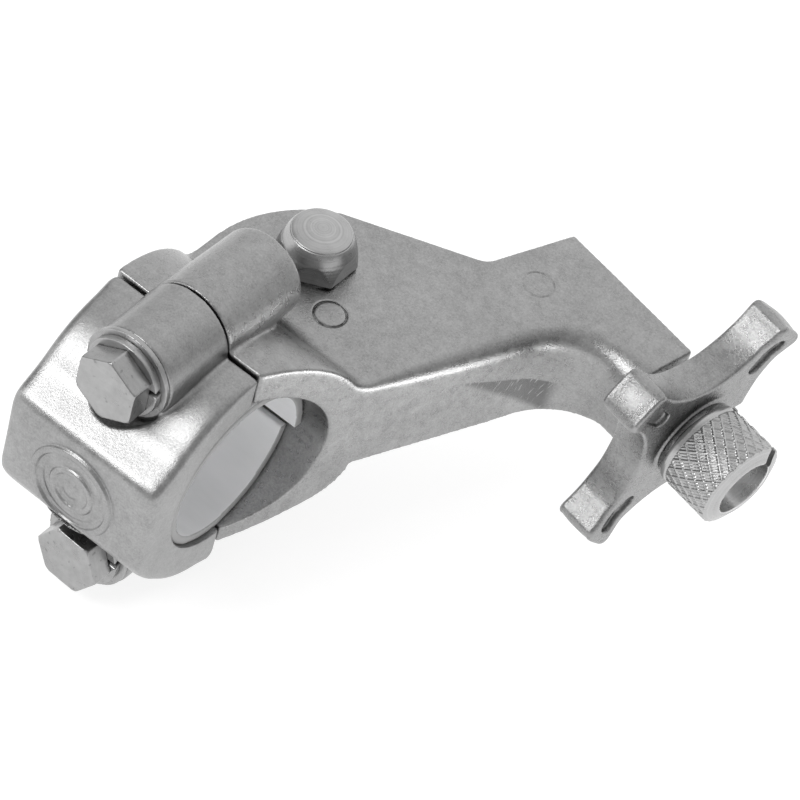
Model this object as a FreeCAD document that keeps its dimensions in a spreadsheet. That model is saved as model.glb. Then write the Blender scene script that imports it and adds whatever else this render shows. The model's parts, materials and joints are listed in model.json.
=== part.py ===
"""Clutch perch with a star-wheel cable adjuster, as a FreeCAD document.

Frame: millimetres, origin at the centre of the handlebar bore, halfway along the clamp.
+X runs along the handlebar towards the adjuster, +Y away from the rider, +Z up along the lever's pivot.
"""
import FreeCAD, Part
import math
import os

import Sketcher

Vector = FreeCAD.Vector
Rotation = FreeCAD.Rotation
Placement = FreeCAD.Placement

DIMENSIONS = {
    # handlebar clamp
    "clamp_left": 12.2, "clamp_right": 11.8, "bore_radius": 12.5,
    "jaw_radius": 18.2, "jaw_depth": 17.2, "jaw_foot": 15.7, "root_radius": 4.0,
    "side_slope": 0.42, "side_start": 11.6, "split_gap": 0.3,
    "boss_height": 17.0, "boss_radius": 6.6, "boss_length": 15.2, "boss_taper": 1.5,
    "cap_boss_length": 10.9, "relief_radius": 6.8, "bolt_hole_radius": 3.2, "thread_radius": 3.0,
    "bolt_across": -0.3,
    "cap_radius": 17.4, "cap_foot": 18.0, "cap_front": 18.2, "cap_corner": 1.5,
    "badge_radius": 6.8, "badge_relief": 0.35,
    "mark_radius": 2.24,
    # split sleeve
    "sleeve_inner": 11.1, "sleeve_outer": 12.42, "sleeve_width": 22.4, "sleeve_lead": 1.9,
    "slit_angle": 7.0, "slit_place": -9.5,
    # arm
    "plate_left": 11.9, "plate_top": 9.0, "plate_bottom": -6.6, "ear_thickness": 3.4,
    "slot_height": 8.0, "slot_back": 18.8,
    "pivot_across": -0.4, "pivot_forward": 28.2, "pivot_end_radius": 9.7, "web_thickness": 4.6,
    "block_angle": 11.5, "block_across": 59.8, "block_forward": 45.5,
    "axis_yaw": 10.5, "axis_pitch": 1.5, "axis_across": 60.0, "axis_forward": 45.3, "axis_height": 2.9,
    "block_face": 17.4, "block_bottom": -3.0, "block_half_width": 5.2,
    # clamp bolts and washers
    "bolt_radius": 2.95, "bolt_flats": 8.8, "bolt_head": 3.2, "bolt_length": 24.0,
    "flat_washer_radius": 6.4, "flat_washer_thickness": 0.7,
    "lock_washer_radius": 5.6, "lock_washer_thickness": 1.0,
    # lever pivot
    "pivot_radius": 3.0, "pivot_hole_radius": 3.05, "pivot_head": 6.2, "pivot_flats": 10.0,
    "dome_height": 10.3, "dome_radius": 5.87, "dome_drop": 2.0, "top_radius": 12.4, "top_height": 6.07,
    "nut_height": 3.6, "nut_ring_height": 1.6, "nut_ring_radius": 4.3,
    # thumb wheel
    "wheel_front": 9.8, "wheel_thickness": 5.6, "arm_reach": 19.0, "arm_half_width": 3.4,
    "waist_arc": 12.8, "hub_radius": 6.4, "hub_back": 1.3, "hub_front": 0.4, "wheel_bore": 4.1,
    # adjuster barrel
    "knurl_radius": 6.6, "knurl_length": 8.7, "knurl_chamfer": 0.35, "shank_radius": 4.0,
    "shank_length": 22.0, "mouth_radius": 4.5, "mouth_lip": 0.5, "cable_seat_radius": 4.2,
    "cable_seat_depth": 6.0, "cable_hole_radius": 1.3, "cable_slot_width": 1.9, "cable_slot_turn": 45.0,
    "guide_radius": 4.1, "guide_depth": 14.5,
}

doc = FreeCAD.newDocument("clutch_perch")
sheet = doc.addObject("Spreadsheet::Sheet", "sizes")
for row, (alias, value) in enumerate(DIMENSIONS.items(), start=1):
    sheet.set(f"A{row}", alias)
    sheet.set(f"B{row}", str(value))
    sheet.setAlias(f"B{row}", alias)
doc.recompute()


class Size:
    """A number together with the sheet expression that gives it."""

    def __init__(self, value, text):
        self.value = value
        self.text = text

    def __neg__(self):
        return Size(-self.value, f"-({self.text})")

    def __add__(self, other):
        other = as_size(other)
        return Size(self.value + other.value, f"({self.text} + {other.text})")

    def __sub__(self, other):
        return self + (-as_size(other))

    def __mul__(self, factor):
        factor = as_size(factor)
        return Size(self.value * factor.value, f"({self.text} * {factor.text})")

    def __truediv__(self, divisor):
        return self * (1.0 / divisor)

    __radd__ = __add__
    __rmul__ = __mul__

    def __rsub__(self, other):
        return as_size(other) - self


def as_size(thing):
    """Let plain numbers take part in sums of sizes."""
    if isinstance(thing, Size):
        return thing
    return Size(float(thing), f"({float(thing):.6f})")


def size(alias):
    """One cell of the sheet."""
    return Size(float(sheet.get(alias)), f"sizes.{alias}")


def bind(thing, name, amount):
    """Tie a property of an object to an amount from the sheet."""
    thing.setExpression(name, as_size(amount).text)


def origin_plane(body, role):
    """The body's own XY_Plane, XZ_Plane or YZ_Plane."""
    return next(item for item in body.Origin.OriginFeatures if item.Role == role)


def new_body(label):
    """An empty PartDesign body."""
    body = doc.addObject("PartDesign::Body", label)
    body.Label = label
    return body


def new_sketch(body, name, role, shift=0, turn=None, across=0, up=0):
    """An empty sketch on an origin plane, moved by shift along its normal and turned by a rotation."""
    sketch = body.newObject("Sketcher::SketchObject", name)
    sketch.AttachmentSupport = [(origin_plane(body, role), "")]
    sketch.MapMode = "FlatFace"
    base = Vector(*(as_size(amount).value for amount in (across, up, shift)))
    sketch.AttachmentOffset = Placement(base, turn or Rotation())
    for letter, amount in zip("xyz", (across, up, shift)):
        bind(sketch, f"AttachmentOffset.Base.{letter}", amount)
    return sketch


def constrain(sketch, kind, amount, *where):
    """Add a dimension to a sketch and bind it to the sheet."""
    index = sketch.addConstraint(Sketcher.Constraint(kind, *where, as_size(amount).value))
    bind(sketch, f"Constraints[{index}]", amount)


def place_point(sketch, edge, end, x, y):
    """Dimension one point of a sketch from the sketch's origin."""
    constrain(sketch, "DistanceX", x, -1, 1, edge, end)
    constrain(sketch, "DistanceY", y, -1, 1, edge, end)


def arc_between(start, finish, radius, side):
    """The shorter arc between two points, its centre to the left (side 1) or right (side -1) of the way."""
    chord = finish - start
    middle = (start + finish) * 0.5
    left = Vector(-chord.y, chord.x, 0).normalize()
    centre = middle + left * side * math.sqrt(max(radius ** 2 - (chord.Length / 2) ** 2, 0.0))
    circle = Part.Circle(centre, Vector(0, 0, 1), radius)
    first, last = (start, finish) if side > 0 else (finish, start)
    angles = [math.atan2(point.y - centre.y, point.x - centre.x) for point in (first, last)]
    return Part.ArcOfCircle(circle, angles[0], angles[1])


def add_outline(sketch, corners, arcs=None):
    """Draw a closed outline; arcs maps an edge's number to (radius, side), the other edges are straight."""
    arcs = arcs or {}
    points = [Vector(as_size(x).value, as_size(y).value, 0) for x, y in corners]
    ends = []
    for number, start in enumerate(points):
        finish = points[(number + 1) % len(points)]
        if number in arcs:
            radius, side = arcs[number]
            edge = sketch.addGeometry(arc_between(start, finish, as_size(radius).value, side))
            ends.append((edge, 1, 2) if side > 0 else (edge, 2, 1))
        else:
            edge = sketch.addGeometry(Part.LineSegment(start, finish))
            ends.append((edge, 1, 2))
    for number, (edge, _, finish) in enumerate(ends):
        following, start, _ = ends[(number + 1) % len(ends)]
        sketch.addConstraint(Sketcher.Constraint("Coincident", edge, finish, following, start))
    for (edge, start, _), (x, y) in zip(ends, corners):
        place_point(sketch, edge, start, x, y)
    for number, (radius, _) in arcs.items():
        constrain(sketch, "Radius", radius, ends[number][0])
    return sketch


def add_circle(sketch, x, y, radius):
    """Draw a circle with its centre and radius bound to the sheet."""
    centre = Vector(as_size(x).value, as_size(y).value, 0)
    edge = sketch.addGeometry(Part.Circle(centre, Vector(0, 0, 1), as_size(radius).value))
    place_point(sketch, edge, 3, x, y)
    constrain(sketch, "Radius", radius, edge)
    return sketch


def extrude(body, kind, sketch, length, reverse=False, taper=None):
    """A Pad or a Pocket of a sketch; a pocket must take something away and a pad must add something."""
    doc.recompute()
    before = body.Shape.Volume if body.Tip else 0.0
    feature = body.newObject(f"PartDesign::{kind}", f"{sketch.Name}_{kind.lower()}")
    feature.Profile = sketch
    bind(feature, "Length", length)
    feature.Reversed = reverse
    if taper is not None:
        bind(feature, "TaperAngle", taper)
    doc.recompute()
    change = body.Shape.Volume - before
    if (change <= 0) if kind == "Pad" else (change >= 0):
        raise ValueError(f"{feature.Name} of {body.Label} changes nothing")
    return feature


def soften(body, name, wanted, radius, kind="Fillet"):
    """Round or bevel the edges of a body that the test wanted picks out."""
    base = body.Tip
    names = [f"Edge{number}" for number, edge in enumerate(base.Shape.Edges, start=1) if wanted(edge)]
    if not names:
        raise ValueError(f"{name} of {body.Label} finds no edge")
    feature = body.newObject(f"PartDesign::{kind}", name)
    feature.Base = (base, names)
    bind(feature, "Radius" if kind == "Fillet" else "Size", radius)
    doc.recompute()
    return feature


def passes(*places, reach=0.5):
    """A test for edges that pass near one of the given places."""
    return lambda edge: any(edge.distToShape(Part.Vertex(Vector(*place)))[0] < reach for place in places)


# The block at the arm's end follows a direction in the plan view. The adjuster's axis leans a little off it.
BLOCK_TURN = -size("block_angle").value
BLOCK = Vector(math.cos(math.radians(BLOCK_TURN)), math.sin(math.radians(BLOCK_TURN)), 0)
BLOCK_LEFT = Vector(-BLOCK.y, BLOCK.x, 0)
UP = Vector(0, 0, 1)
AXIS_ROTATION = Rotation(UP, -size("axis_yaw").value) * Rotation(Vector(0, 1, 0), size("axis_pitch").value)
AXIS = AXIS_ROTATION.multVec(Vector(1, 0, 0))


def on_block(distance, left=0):
    """Plan position of a point of the block: its distance back from the barrel's mouth and to the left."""
    distance = as_size(distance)
    left = as_size(left)
    across = size("block_across") - distance * BLOCK.x + left * BLOCK_LEFT.x
    forward = size("block_forward") - distance * BLOCK.y + left * BLOCK_LEFT.y
    return across, forward


def on_axis(distance):
    """The point of the adjuster's axis at a distance back from the barrel's mouth."""
    names = ("axis_across", "axis_forward", "axis_height")
    return tuple(size(name) - as_size(distance) * step for name, step in zip(names, AXIS))


def side_face(forward, inset=0):
    """Plan position of a point of the arm's sloping side face, or that far inside it."""
    return size("side_start") + as_size(forward) * size("side_slope") - inset, as_size(forward)


def axis_sketch(body, name, distance):
    """A sketch square to the adjuster's axis, its origin on the axis at a distance behind the mouth."""
    across, forward, height = on_axis(distance)
    upright = Placement(origin_plane(body, "YZ_Plane").Placement).Rotation
    turn = upright.inverted() * AXIS_ROTATION * upright
    return new_sketch(body, name, "YZ_Plane", across, turn, forward, height)


# The inner top edge, from the clamp's rim to the block: a place on each stretch, its first and last radius.
INNER_EDGE = [
    ((13.5, 5, 17.0), 0.5, 0.7),
    ((18.4, 16.2, 9.5), 0.7, 1.3),
    ((23.5, 28.4, 9), 1.3, 3.0),
    ((31.6, 43.4, 9), 3.0, 3.6),
    ((39.5, 44.3, 9), 3.6, 4.8),
]


def nearest_edge(shape, place):
    """The number of the edge of a shape that passes nearest to a place."""
    point = Part.Vertex(Vector(*place))
    distances = [edge.distToShape(point)[0] for edge in shape.Edges]
    return distances.index(min(distances)) + 1


def make_perch():
    """The cast bracket: clamp half, bolt bosses, arm with the lever ears, and the adjuster's block."""
    body = new_body("perch_casting")
    outer = -size("clamp_left")
    top = size("plate_top")
    bottom = size("plate_bottom")
    gap = size("split_gap") / 2
    foot = size("jaw_foot")
    jaw_radius = size("jaw_radius")

    jaw = new_sketch(body, "jaw", "YZ_Plane", outer)
    add_outline(jaw, [
        (gap, -foot),
        (10, -13.3),
        (16.6, -7.8),
        (jaw_radius, 0),
        (gap, size("jaw_depth") + 0.5),
    ], {0: (30, 1), 1: (10, 1), 3: (jaw_radius, 1)})
    extrude(body, "Pad", jaw, size("side_start") + size("side_slope") * 20 - outer)

    slant = new_sketch(body, "side_slant", "XY_Plane", -30)
    outside = size("side_start") + 30
    add_outline(slant, [side_face(-2), (outside, -2), (outside, 30), side_face(30)])
    extrude(body, "Pocket", slant, 60, reverse=True)

    arm = new_sketch(body, "arm", "XY_Plane", bottom)
    across = size("pivot_across")
    forward = size("pivot_forward")
    end = size("pivot_end_radius")
    left = size("block_half_width")
    face = size("block_face")
    side = -size("plate_left")
    add_outline(arm, [
        (side, 6),
        side_face(6),
        side_face(38.9),
        on_block(21.9, -left),
        on_block(face, -left),
        on_block(face, left),
        (20.4, 58.7),
        (15.4, 45.6),
        (across - end * 0.3, forward + end * 0.954),
        (side, forward - 6),
    ], {2: (9.0, -1), 8: (end * 2, 1)})
    extrude(body, "Pad", arm, top - bottom)
    root = math.sqrt(jaw_radius.value ** 2 - (top.value + 0.5) ** 2)
    soften(body, "collar_root", passes((0, root, top.value), reach=0.1), size("root_radius"))

    for name, level in (("upper_boss", size("boss_height")), ("lower_boss", -size("boss_height"))):
        boss = new_sketch(body, name, "XZ_Plane", -gap)
        add_circle(boss, 0, level, size("boss_radius"))
        extrude(body, "Pad", boss, size("boss_length") - gap, reverse=True, taper=-size("boss_taper"))

    reach = size("block_across") * BLOCK.x + size("block_forward") * BLOCK.y - face
    underside = new_sketch(body, "block_underside", "XZ_Plane", 0, Rotation(Vector(0, 1, 0), BLOCK_TURN))
    add_outline(underside, [
        (reach - 13, bottom - 1),
        (reach + 1, bottom - 1),
        (reach + 1, size("block_bottom")),
        (reach - 3, size("block_bottom")),
        (reach - 13, bottom),
    ])
    extrude(body, "Pocket", underside, 80)

    slot_top = top - size("ear_thickness")
    slot_back = size("slot_back")
    web = size("web_thickness")
    slot = new_sketch(body, "lever_slot", "XY_Plane", slot_top - size("slot_height"))
    add_outline(slot, [
        (outer - 6, slot_back),
        side_face(slot_back, web),
        side_face(33, web),
        (21.4, 39.6),
        (14.8, 46.4),
        (9, 62),
        (outer - 6, 62),
    ])
    extrude(body, "Pocket", slot, size("slot_height"), reverse=True)
    corner = side_face(slot_back, web)[0].value, slot_back.value, slot_top.value - 2
    soften(body, "slot_corner", passes(corner), 3)

    bore = new_sketch(body, "bore", "YZ_Plane", -30)
    add_circle(bore, 0, 0, size("bore_radius"))
    extrude(body, "Pocket", bore, 60, reverse=True)

    for name, level in (("upper_thread", size("boss_height")), ("lower_thread", -size("boss_height"))):
        thread = new_sketch(body, name, "XZ_Plane", -gap)
        add_circle(thread, size("bolt_across"), level, size("thread_radius"))
        extrude(body, "Pocket", thread, size("boss_length") - 1.5)

    pivot = new_sketch(body, "pivot_hole", "XY_Plane", top)
    add_circle(pivot, across, forward, size("pivot_hole_radius"))
    extrude(body, "Pocket", pivot, 20)

    guide = axis_sketch(body, "barrel_guide", face)
    add_circle(guide, 0, 0, size("guide_radius"))
    extrude(body, "Pocket", guide, size("guide_depth"))
    cable = axis_sketch(body, "cable_slot", face)
    slit = size("cable_slot_width") / 2
    add_outline(cable, [(-slit, -slit), (14, -slit), (14, slit), (-slit, slit)])
    extrude(body, "Pocket", cable, 34)

    for name, place, depth in (("rear_mark", (7.1, 22.2), 0.25), ("front_mark", (22.5, 47.6), 0.12)):
        mark = new_sketch(body, name, "XY_Plane", top)
        add_circle(mark, *place, size("mark_radius"))
        add_circle(mark, *place, size("mark_radius") - 0.3)
        extrude(body, "Pocket", mark, depth)

    soften(body, "notch", passes((15.4, 45.6, 7.5), reach=0.2), 3)
    soften(body, "arm_corner", passes((20.4, 58.7, 1)), 1.4)
    for name, level in (("upper_rim", size("boss_height")), ("lower_rim", -size("boss_height"))):
        end = size("boss_length").value
        soften(body, name, passes((6.2, end, level.value), (-6.2, end, level.value), reach=0.15), 0.8)

    rounded = doc.addObject("Part::Fillet", "perch_body")
    rounded.Base = body
    rounded.Edges = [(nearest_edge(body.Shape, place), after, before) for place, before, after in INNER_EDGE]
    return rounded


def rim_edges(end, split):
    """A test for the edges of the clamp's end face at x = end, other than the one on the split."""
    def wanted(edge):
        middle = edge.CenterOfMass
        flat = all(abs(vertex.X - end) < 0.01 for vertex in edge.Vertexes) and abs(middle.x - end) < 0.01
        return flat and abs(middle.y - split) > 0.2
    return wanted


def make_cap():
    """The cast cap: the clamp's rear half with its two bolt bosses and a plain round badge."""
    body = new_body("clamp_cap")
    gap = size("split_gap") / 2
    front = size("cap_front")
    radius = size("cap_radius")
    foot = size("cap_foot")
    depth = size("jaw_depth")
    corner = size("cap_corner")

    shell = new_sketch(body, "shell", "YZ_Plane", -size("clamp_left"))
    add_outline(shell, [
        (-gap, corner - foot),
        (-gap, depth),
        (-radius * 0.77, radius * 0.638),
        (-front, radius * 0.46),
        (-front, -foot * 0.33),
        (-foot * 0.707, -foot * 0.707),
        (-gap - corner, -foot * 0.996),
    ], {1: (radius, 1), 4: (foot * 1.05, 1), 5: (foot, 1), 6: (corner, 1)})
    extrude(body, "Pad", shell, size("clamp_left") + size("clamp_right"))
    soften(body, "arc_blend", passes((0, -radius.value * 0.77, radius.value * 0.638), reach=0.1), 10)
    upper = (0, -front.value, radius.value * 0.46)
    lower = (0, -front.value, -foot.value * 0.33)
    creases = passes(upper, lower, reach=0.1)
    soften(body, "creases", creases, 2.5)
    soften(body, "left_rim", rim_edges(-size("clamp_left").value, -gap.value), 1.0)
    soften(body, "right_rim", rim_edges(size("clamp_right").value, -gap.value), 0.6)

    for name, level in (("upper_boss", size("boss_height")), ("lower_boss", -size("boss_height"))):
        boss = new_sketch(body, name + "_of_cap", "XZ_Plane", gap)
        add_circle(boss, 0, level, size("boss_radius"))
        extrude(body, "Pad", boss, size("cap_boss_length") - gap, taper=-size("boss_taper"))
        relief = new_sketch(body, name + "_relief", "XZ_Plane", size("cap_boss_length"))
        add_circle(relief, size("bolt_across"), level, size("relief_radius"))
        extrude(body, "Pocket", relief, 12, reverse=True)
        hole = new_sketch(body, name + "_hole", "XZ_Plane", -1)
        add_circle(hole, size("bolt_across"), level, size("bolt_hole_radius"))
        extrude(body, "Pocket", hole, 20, reverse=True)

    bore = new_sketch(body, "cap_bore", "YZ_Plane", -30)
    add_circle(bore, 0, 0, size("bore_radius"))
    extrude(body, "Pocket", bore, 60, reverse=True)

    badge = new_sketch(body, "badge", "XZ_Plane", front - 2)
    for share in (1.0, 0.87, 0.55):
        add_circle(badge, -0.3, -0.5, size("badge_radius") * share)
    extrude(body, "Pad", badge, size("badge_relief") + 2)
    return body


def solid(kind, name, base=(0, 0, 0), turn=None, **sizes):
    """A Part primitive with its sizes and place bound to the sheet."""
    primitive = doc.addObject(f"Part::{kind}", name)
    for prop, amount in sizes.items():
        bind(primitive, prop, amount)
    seat(primitive, base, turn)
    return primitive


def seat(thing, base, turn=None):
    """Give an object its place and its (axis, angle) turn."""
    rotation = Rotation(*turn) if turn else Rotation()
    thing.Placement = Placement(Vector(*(as_size(amount).value for amount in base)), rotation)
    for letter, amount in zip("xyz", base):
        bind(thing, f"Placement.Base.{letter}", amount)


def combine(kind, name, parts):
    """A Part boolean: the fusion or the common part of several objects, or the first without the rest."""
    if kind == "Cut":
        result = doc.addObject("Part::Cut", name)
        result.Base = parts[0]
        result.Tool = parts[1] if len(parts) == 2 else combine("MultiFuse", name + "_tools", parts[1:])
    else:
        result = doc.addObject(f"Part::{kind}", name)
        result.Shapes = parts
    result.Label = name
    return result


def make_sleeve():
    """The split sleeve: a tube trimmed to a strip wound one turn with a small lead, its ends askew."""
    strip = new_body("sleeve_strip")
    profile = new_sketch(strip, "strip", "XY_Plane", 0)
    back = -size("clamp_right")
    front = back + size("sleeve_width")
    inner = size("sleeve_inner")
    outer = size("sleeve_outer")
    add_outline(profile, [(back, inner - 1), (front, inner - 1), (front, outer + 1), (back, outer + 1)])
    doc.recompute()
    winding = strip.newObject("PartDesign::AdditiveHelix", "winding")
    winding.Profile = profile
    winding.ReferenceAxis = (profile, ["H_Axis"])
    winding.Mode = "pitch-height-angle"
    winding.LeftHanded = True
    bind(winding, "Pitch", size("sleeve_lead"))
    bind(winding, "Height", size("sleeve_lead") * (1 - size("slit_angle").value / 360))
    doc.recompute()
    strip.Placement = Placement(Vector(), Rotation(Vector(1, 0, 0), size("slit_place").value))

    along = (Vector(0, 1, 0), 90)
    start = back - 3
    length = size("sleeve_width") + size("sleeve_lead") + 6
    tube = solid("Cylinder", "sleeve_tube", (start, 0, 0), along, Radius=outer, Height=length)
    hole = solid("Cylinder", "sleeve_hole", (start, 0, 0), along, Radius=inner, Height=length)
    ring = combine("Cut", "sleeve_ring", [tube, hole])
    return combine("MultiCommon", "bar_sleeve", [ring, strip])


def hexagon(name, flats, height, base=(0, 0, 0), turn=None):
    """A hexagonal prism given by its width across flats."""
    prism = solid("Prism", name, base, turn, Circumradius=flats / math.sqrt(3), Height=height)
    prism.Polygon = 6
    return prism


ALONG_Y = (Vector(1, 0, 0), -90)


def make_clamp_bolt(label, level, head_turn):
    """A hex bolt along +Y: its head's underside is at local zero, the head above and the shank below."""
    flats = size("bolt_flats")
    head = size("bolt_head")
    steep = math.tan(math.radians(60))
    turn = (Vector(0, 0, 1), head_turn)
    prism = hexagon(label + "_prism", flats, head, (0, 0, -head), turn)
    bevel = solid("Cone", label + "_bevel", (0, 0, -head),
                  Radius1=flats * 0.535, Radius2=flats * 0.535 + head * steep, Height=head)
    shaped = combine("MultiCommon", label + "_head", [prism, bevel])
    shank = solid("Cylinder", label + "_shank", Radius=size("bolt_radius"), Height=size("bolt_length"))
    bolt = combine("MultiFuse", label, [shaped, shank])
    under_head = size("cap_boss_length") + size("flat_washer_thickness") + size("lock_washer_thickness")
    seat(bolt, (size("bolt_across"), -under_head, level), ALONG_Y)
    return bolt


def make_washer(label, level, under, radius, thickness, split):
    """A washer with its cap side at a distance under the boss's end; a split one has a slanting cut."""
    disc = solid("Cylinder", label + "_disc", Radius=radius, Height=thickness)
    bore = size("bolt_hole_radius")
    hole = solid("Cylinder", label + "_hole", (0, 0, -1), Radius=bore, Height=thickness + 2)
    tools = [hole]
    if split:
        turn = (Vector(1, 0, 0), 25)
        gap = solid("Box", label + "_gap", (0, -0.5, -2), turn, Length=radius + 1, Width=0.8, Height=6)
        tools.append(gap)
    washer = combine("Cut", label, [disc] + tools)
    seat(washer, (size("bolt_across"), -(size("cap_boss_length") + under + thickness), level), ALONG_Y)
    return washer


def make_pivot_bolt():
    """The lever's pivot bolt: a hex head under a turned dome, a washer face and a plain shank."""
    across = size("pivot_across")
    forward = size("pivot_forward")
    head = size("pivot_head")
    dome = size("dome_radius")
    drop = size("dome_drop")
    flats = size("pivot_flats")
    lip = 0.35
    prism = hexagon("pivot_prism", flats, head - lip, (0, 0, lip), (Vector(0, 0, 1), 30))
    low = (0, 0, -drop)
    crown = solid("Ellipsoid", "pivot_crown", low, Radius1=size("dome_height"), Radius2=dome, Radius3=dome)
    top = size("top_radius")
    cap = solid("Sphere", "pivot_top", (0, 0, size("top_height") - top), Radius=top)
    shaped = combine("MultiCommon", "pivot_domed_head", [prism, crown, cap])
    collar = solid("Cylinder", "pivot_collar", Radius=flats * 0.48, Height=lip)
    length = size("plate_top") - size("plate_bottom") + size("nut_height") + size("nut_ring_height") + 0.6
    shank = solid("Cylinder", "pivot_shank", (0, 0, -length), Radius=size("pivot_radius"), Height=length)
    bolt = combine("MultiFuse", "pivot_bolt", [shaped, collar, shank])
    seat(bolt, (across, forward, size("plate_top")))
    return bolt


def make_pivot_nut():
    """The self-locking nut below the lower ear, and the nylon ring in its end."""
    across = size("pivot_across")
    forward = size("pivot_forward")
    height = size("nut_height")
    ring = size("nut_ring_height")
    radius = size("nut_ring_radius")
    top = size("plate_bottom")
    hole_radius = size("pivot_hole_radius")

    prism = hexagon("nut_prism", size("pivot_flats"), height, (0, 0, -height))
    collar = solid("Cylinder", "nut_collar", (0, 0, -(height + ring)), Radius=radius + 0.4, Height=ring)
    hole = solid("Cylinder", "nut_hole", (0, 0, -(height + 3)), Radius=hole_radius, Height=height + 4)
    recess = solid("Cylinder", "nut_recess", (0, 0, -(height + 3)), Radius=radius, Height=3)
    blank = combine("MultiFuse", "nut_blank", [prism, collar])
    nut = combine("Cut", "pivot_nut", [blank, hole, recess])
    seat(nut, (across, forward, top))

    disc = solid("Cylinder", "ring_disc", Radius=radius, Height=ring - 0.2)
    through = solid("Cylinder", "ring_hole", (0, 0, -1), Radius=hole_radius, Height=ring + 2)
    lock = combine("Cut", "pivot_nut_ring", [disc, through])
    seat(lock, (across, forward, top - height - ring + 0.2))
    return nut, lock


def axis_placement():
    """The frame at the mouth of the barrel, with +X pointing out of it along the adjuster's axis."""
    return Placement(Vector(*(amount.value for amount in on_axis(0))), AXIS_ROTATION)


def turned(x, y, angle):
    """A point turned about the origin by an angle in degrees."""
    cosine = math.cos(math.radians(angle))
    sine = math.sin(math.radians(angle))
    return as_size(x) * cosine - as_size(y) * sine, as_size(x) * sine + as_size(y) * cosine


def tip_edge(edge, reach):
    """Whether an edge of the star runs along its axis at the tip of an arm."""
    middle = edge.CenterOfMass
    spans = abs(edge.Vertexes[0].X - edge.Vertexes[-1].X) > 1
    return spans and math.hypot(middle.y, middle.z) > reach * 0.95


def flat_edge(edge):
    """Whether an edge lies square to the star's axis."""
    return edge.BoundBox.XLength < 0.01


def make_wheel():
    """The four-armed thumb wheel, a nut that turns on the barrel and bears on the arm's block."""
    body = new_body("thumb_wheel")
    front = size("wheel_front")
    thickness = size("wheel_thickness")
    reach = size("arm_reach")
    half = size("arm_half_width")

    star = new_sketch(body, "star", "YZ_Plane", -(front + thickness))
    corners = []
    arcs = {}
    for number in range(4):
        angle = 45 + 90 * number
        corners += [turned(reach, -half, angle), turned(reach, half, angle)]
        arcs[2 * number] = (reach * 1.1, 1)
        arcs[2 * number + 1] = (size("waist_arc"), -1)
    add_outline(star, corners, arcs)
    extrude(body, "Pad", star, thickness, reverse=False)
    soften(body, "tip_corners", lambda edge: tip_edge(edge, reach.value), 1.2)
    soften(body, "star_rims", flat_edge, 0.5)

    hub = new_sketch(body, "hub", "YZ_Plane", -(front + thickness + size("hub_back")))
    add_circle(hub, 0, 0, size("hub_radius"))
    extrude(body, "Pad", hub, thickness + size("hub_back") + size("hub_front"))

    for number in range(4):
        hollow = new_sketch(body, f"arm_hollow_{number}", "YZ_Plane", -front)
        angle = 45 + 90 * number
        add_outline(hollow, [
            turned(reach - 7.2, -1.1, angle),
            turned(reach - 2.6, -1.5, angle),
            turned(reach - 2.6, 1.5, angle),
            turned(reach - 7.2, 1.1, angle),
        ], {1: (1.6, 1), 3: (1.2, 1)})
        extrude(body, "Pocket", hollow, 0.9)

    bore = new_sketch(body, "wheel_thread", "YZ_Plane", 0)
    add_circle(bore, 0, 0, size("wheel_bore"))
    extrude(body, "Pocket", bore, 40)
    slot = new_sketch(body, "wheel_slot", "YZ_Plane", 0)
    slit = size("cable_slot_width") / 2
    add_outline(slot, [(0, -slit), (12, -slit), (12, slit), (0, slit)])
    extrude(body, "Pocket", slot, 40)
    body.Placement = axis_placement()
    return body


def make_barrel():
    """The adjuster barrel: knurled head, cable seat, shank and a lengthwise slot for the cable."""
    body = new_body("adjuster_barrel")
    head = size("knurl_length")
    head_radius = size("knurl_radius")
    bevel = size("knurl_chamfer")
    lip = size("mouth_lip")
    mouth = size("mouth_radius")
    seat_radius = size("cable_seat_radius")
    seat_depth = size("cable_seat_depth")
    cable = size("cable_hole_radius")
    shank = size("shank_radius")
    end = head + size("shank_length")

    profile = new_sketch(body, "barrel_profile", "XY_Plane", 0)
    add_outline(profile, [
        (lip, mouth),
        (lip, mouth + 0.2),
        (-bevel, head_radius),
        (-head, head_radius),
        (-head, shank),
        (-end, shank),
        (-end, cable),
        (-seat_depth, cable),
        (-seat_depth, seat_radius),
        (lip - 0.3, seat_radius),
    ])
    doc.recompute()
    turning = body.newObject("PartDesign::Revolution", "turning")
    turning.Profile = profile
    turning.ReferenceAxis = (profile, ["H_Axis"])
    turning.Angle = 360
    doc.recompute()

    slit = size("cable_slot_width") / 2
    slot = new_sketch(body, "barrel_slot", "YZ_Plane", 1)
    angle = size("cable_slot_turn").value
    add_outline(slot, [
        turned(0, -slit, angle),
        turned(12, -slit, angle),
        turned(12, slit, angle),
        turned(0, slit, angle),
    ])
    extrude(body, "Pocket", slot, 60)
    body.Placement = axis_placement()
    return body


def make_fasteners():
    """The clamp's bolts with their washers, and the lever's pivot bolt with its nut."""
    made = []
    for side, sign, turn in (("upper", 1, 30), ("lower", -1, 3)):
        level = size("boss_height") * sign
        flat = size("flat_washer_thickness")
        lock = size("lock_washer_thickness")
        made.append(make_clamp_bolt(side + "_clamp_bolt", level, turn))
        made.append(make_washer(side + "_flat_washer", level, 0, size("flat_washer_radius"), flat, False))
        made.append(make_washer(side + "_lock_washer", level, flat, size("lock_washer_radius"), lock, True))
    return made + [make_pivot_bolt(), *make_pivot_nut()]


def check(pieces):
    """Stop if any object of the document failed, or any piece has no sound shape."""
    doc.recompute()
    for item in doc.Objects:
        if "Invalid" in item.State or "Error" in item.State:
            raise ValueError(f"{item.Label} failed: {item.State}")
    for piece in pieces:
        if piece.Shape.isNull() or not piece.Shape.isValid():
            raise ValueError(f"{piece.Label} has no valid shape")


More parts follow.
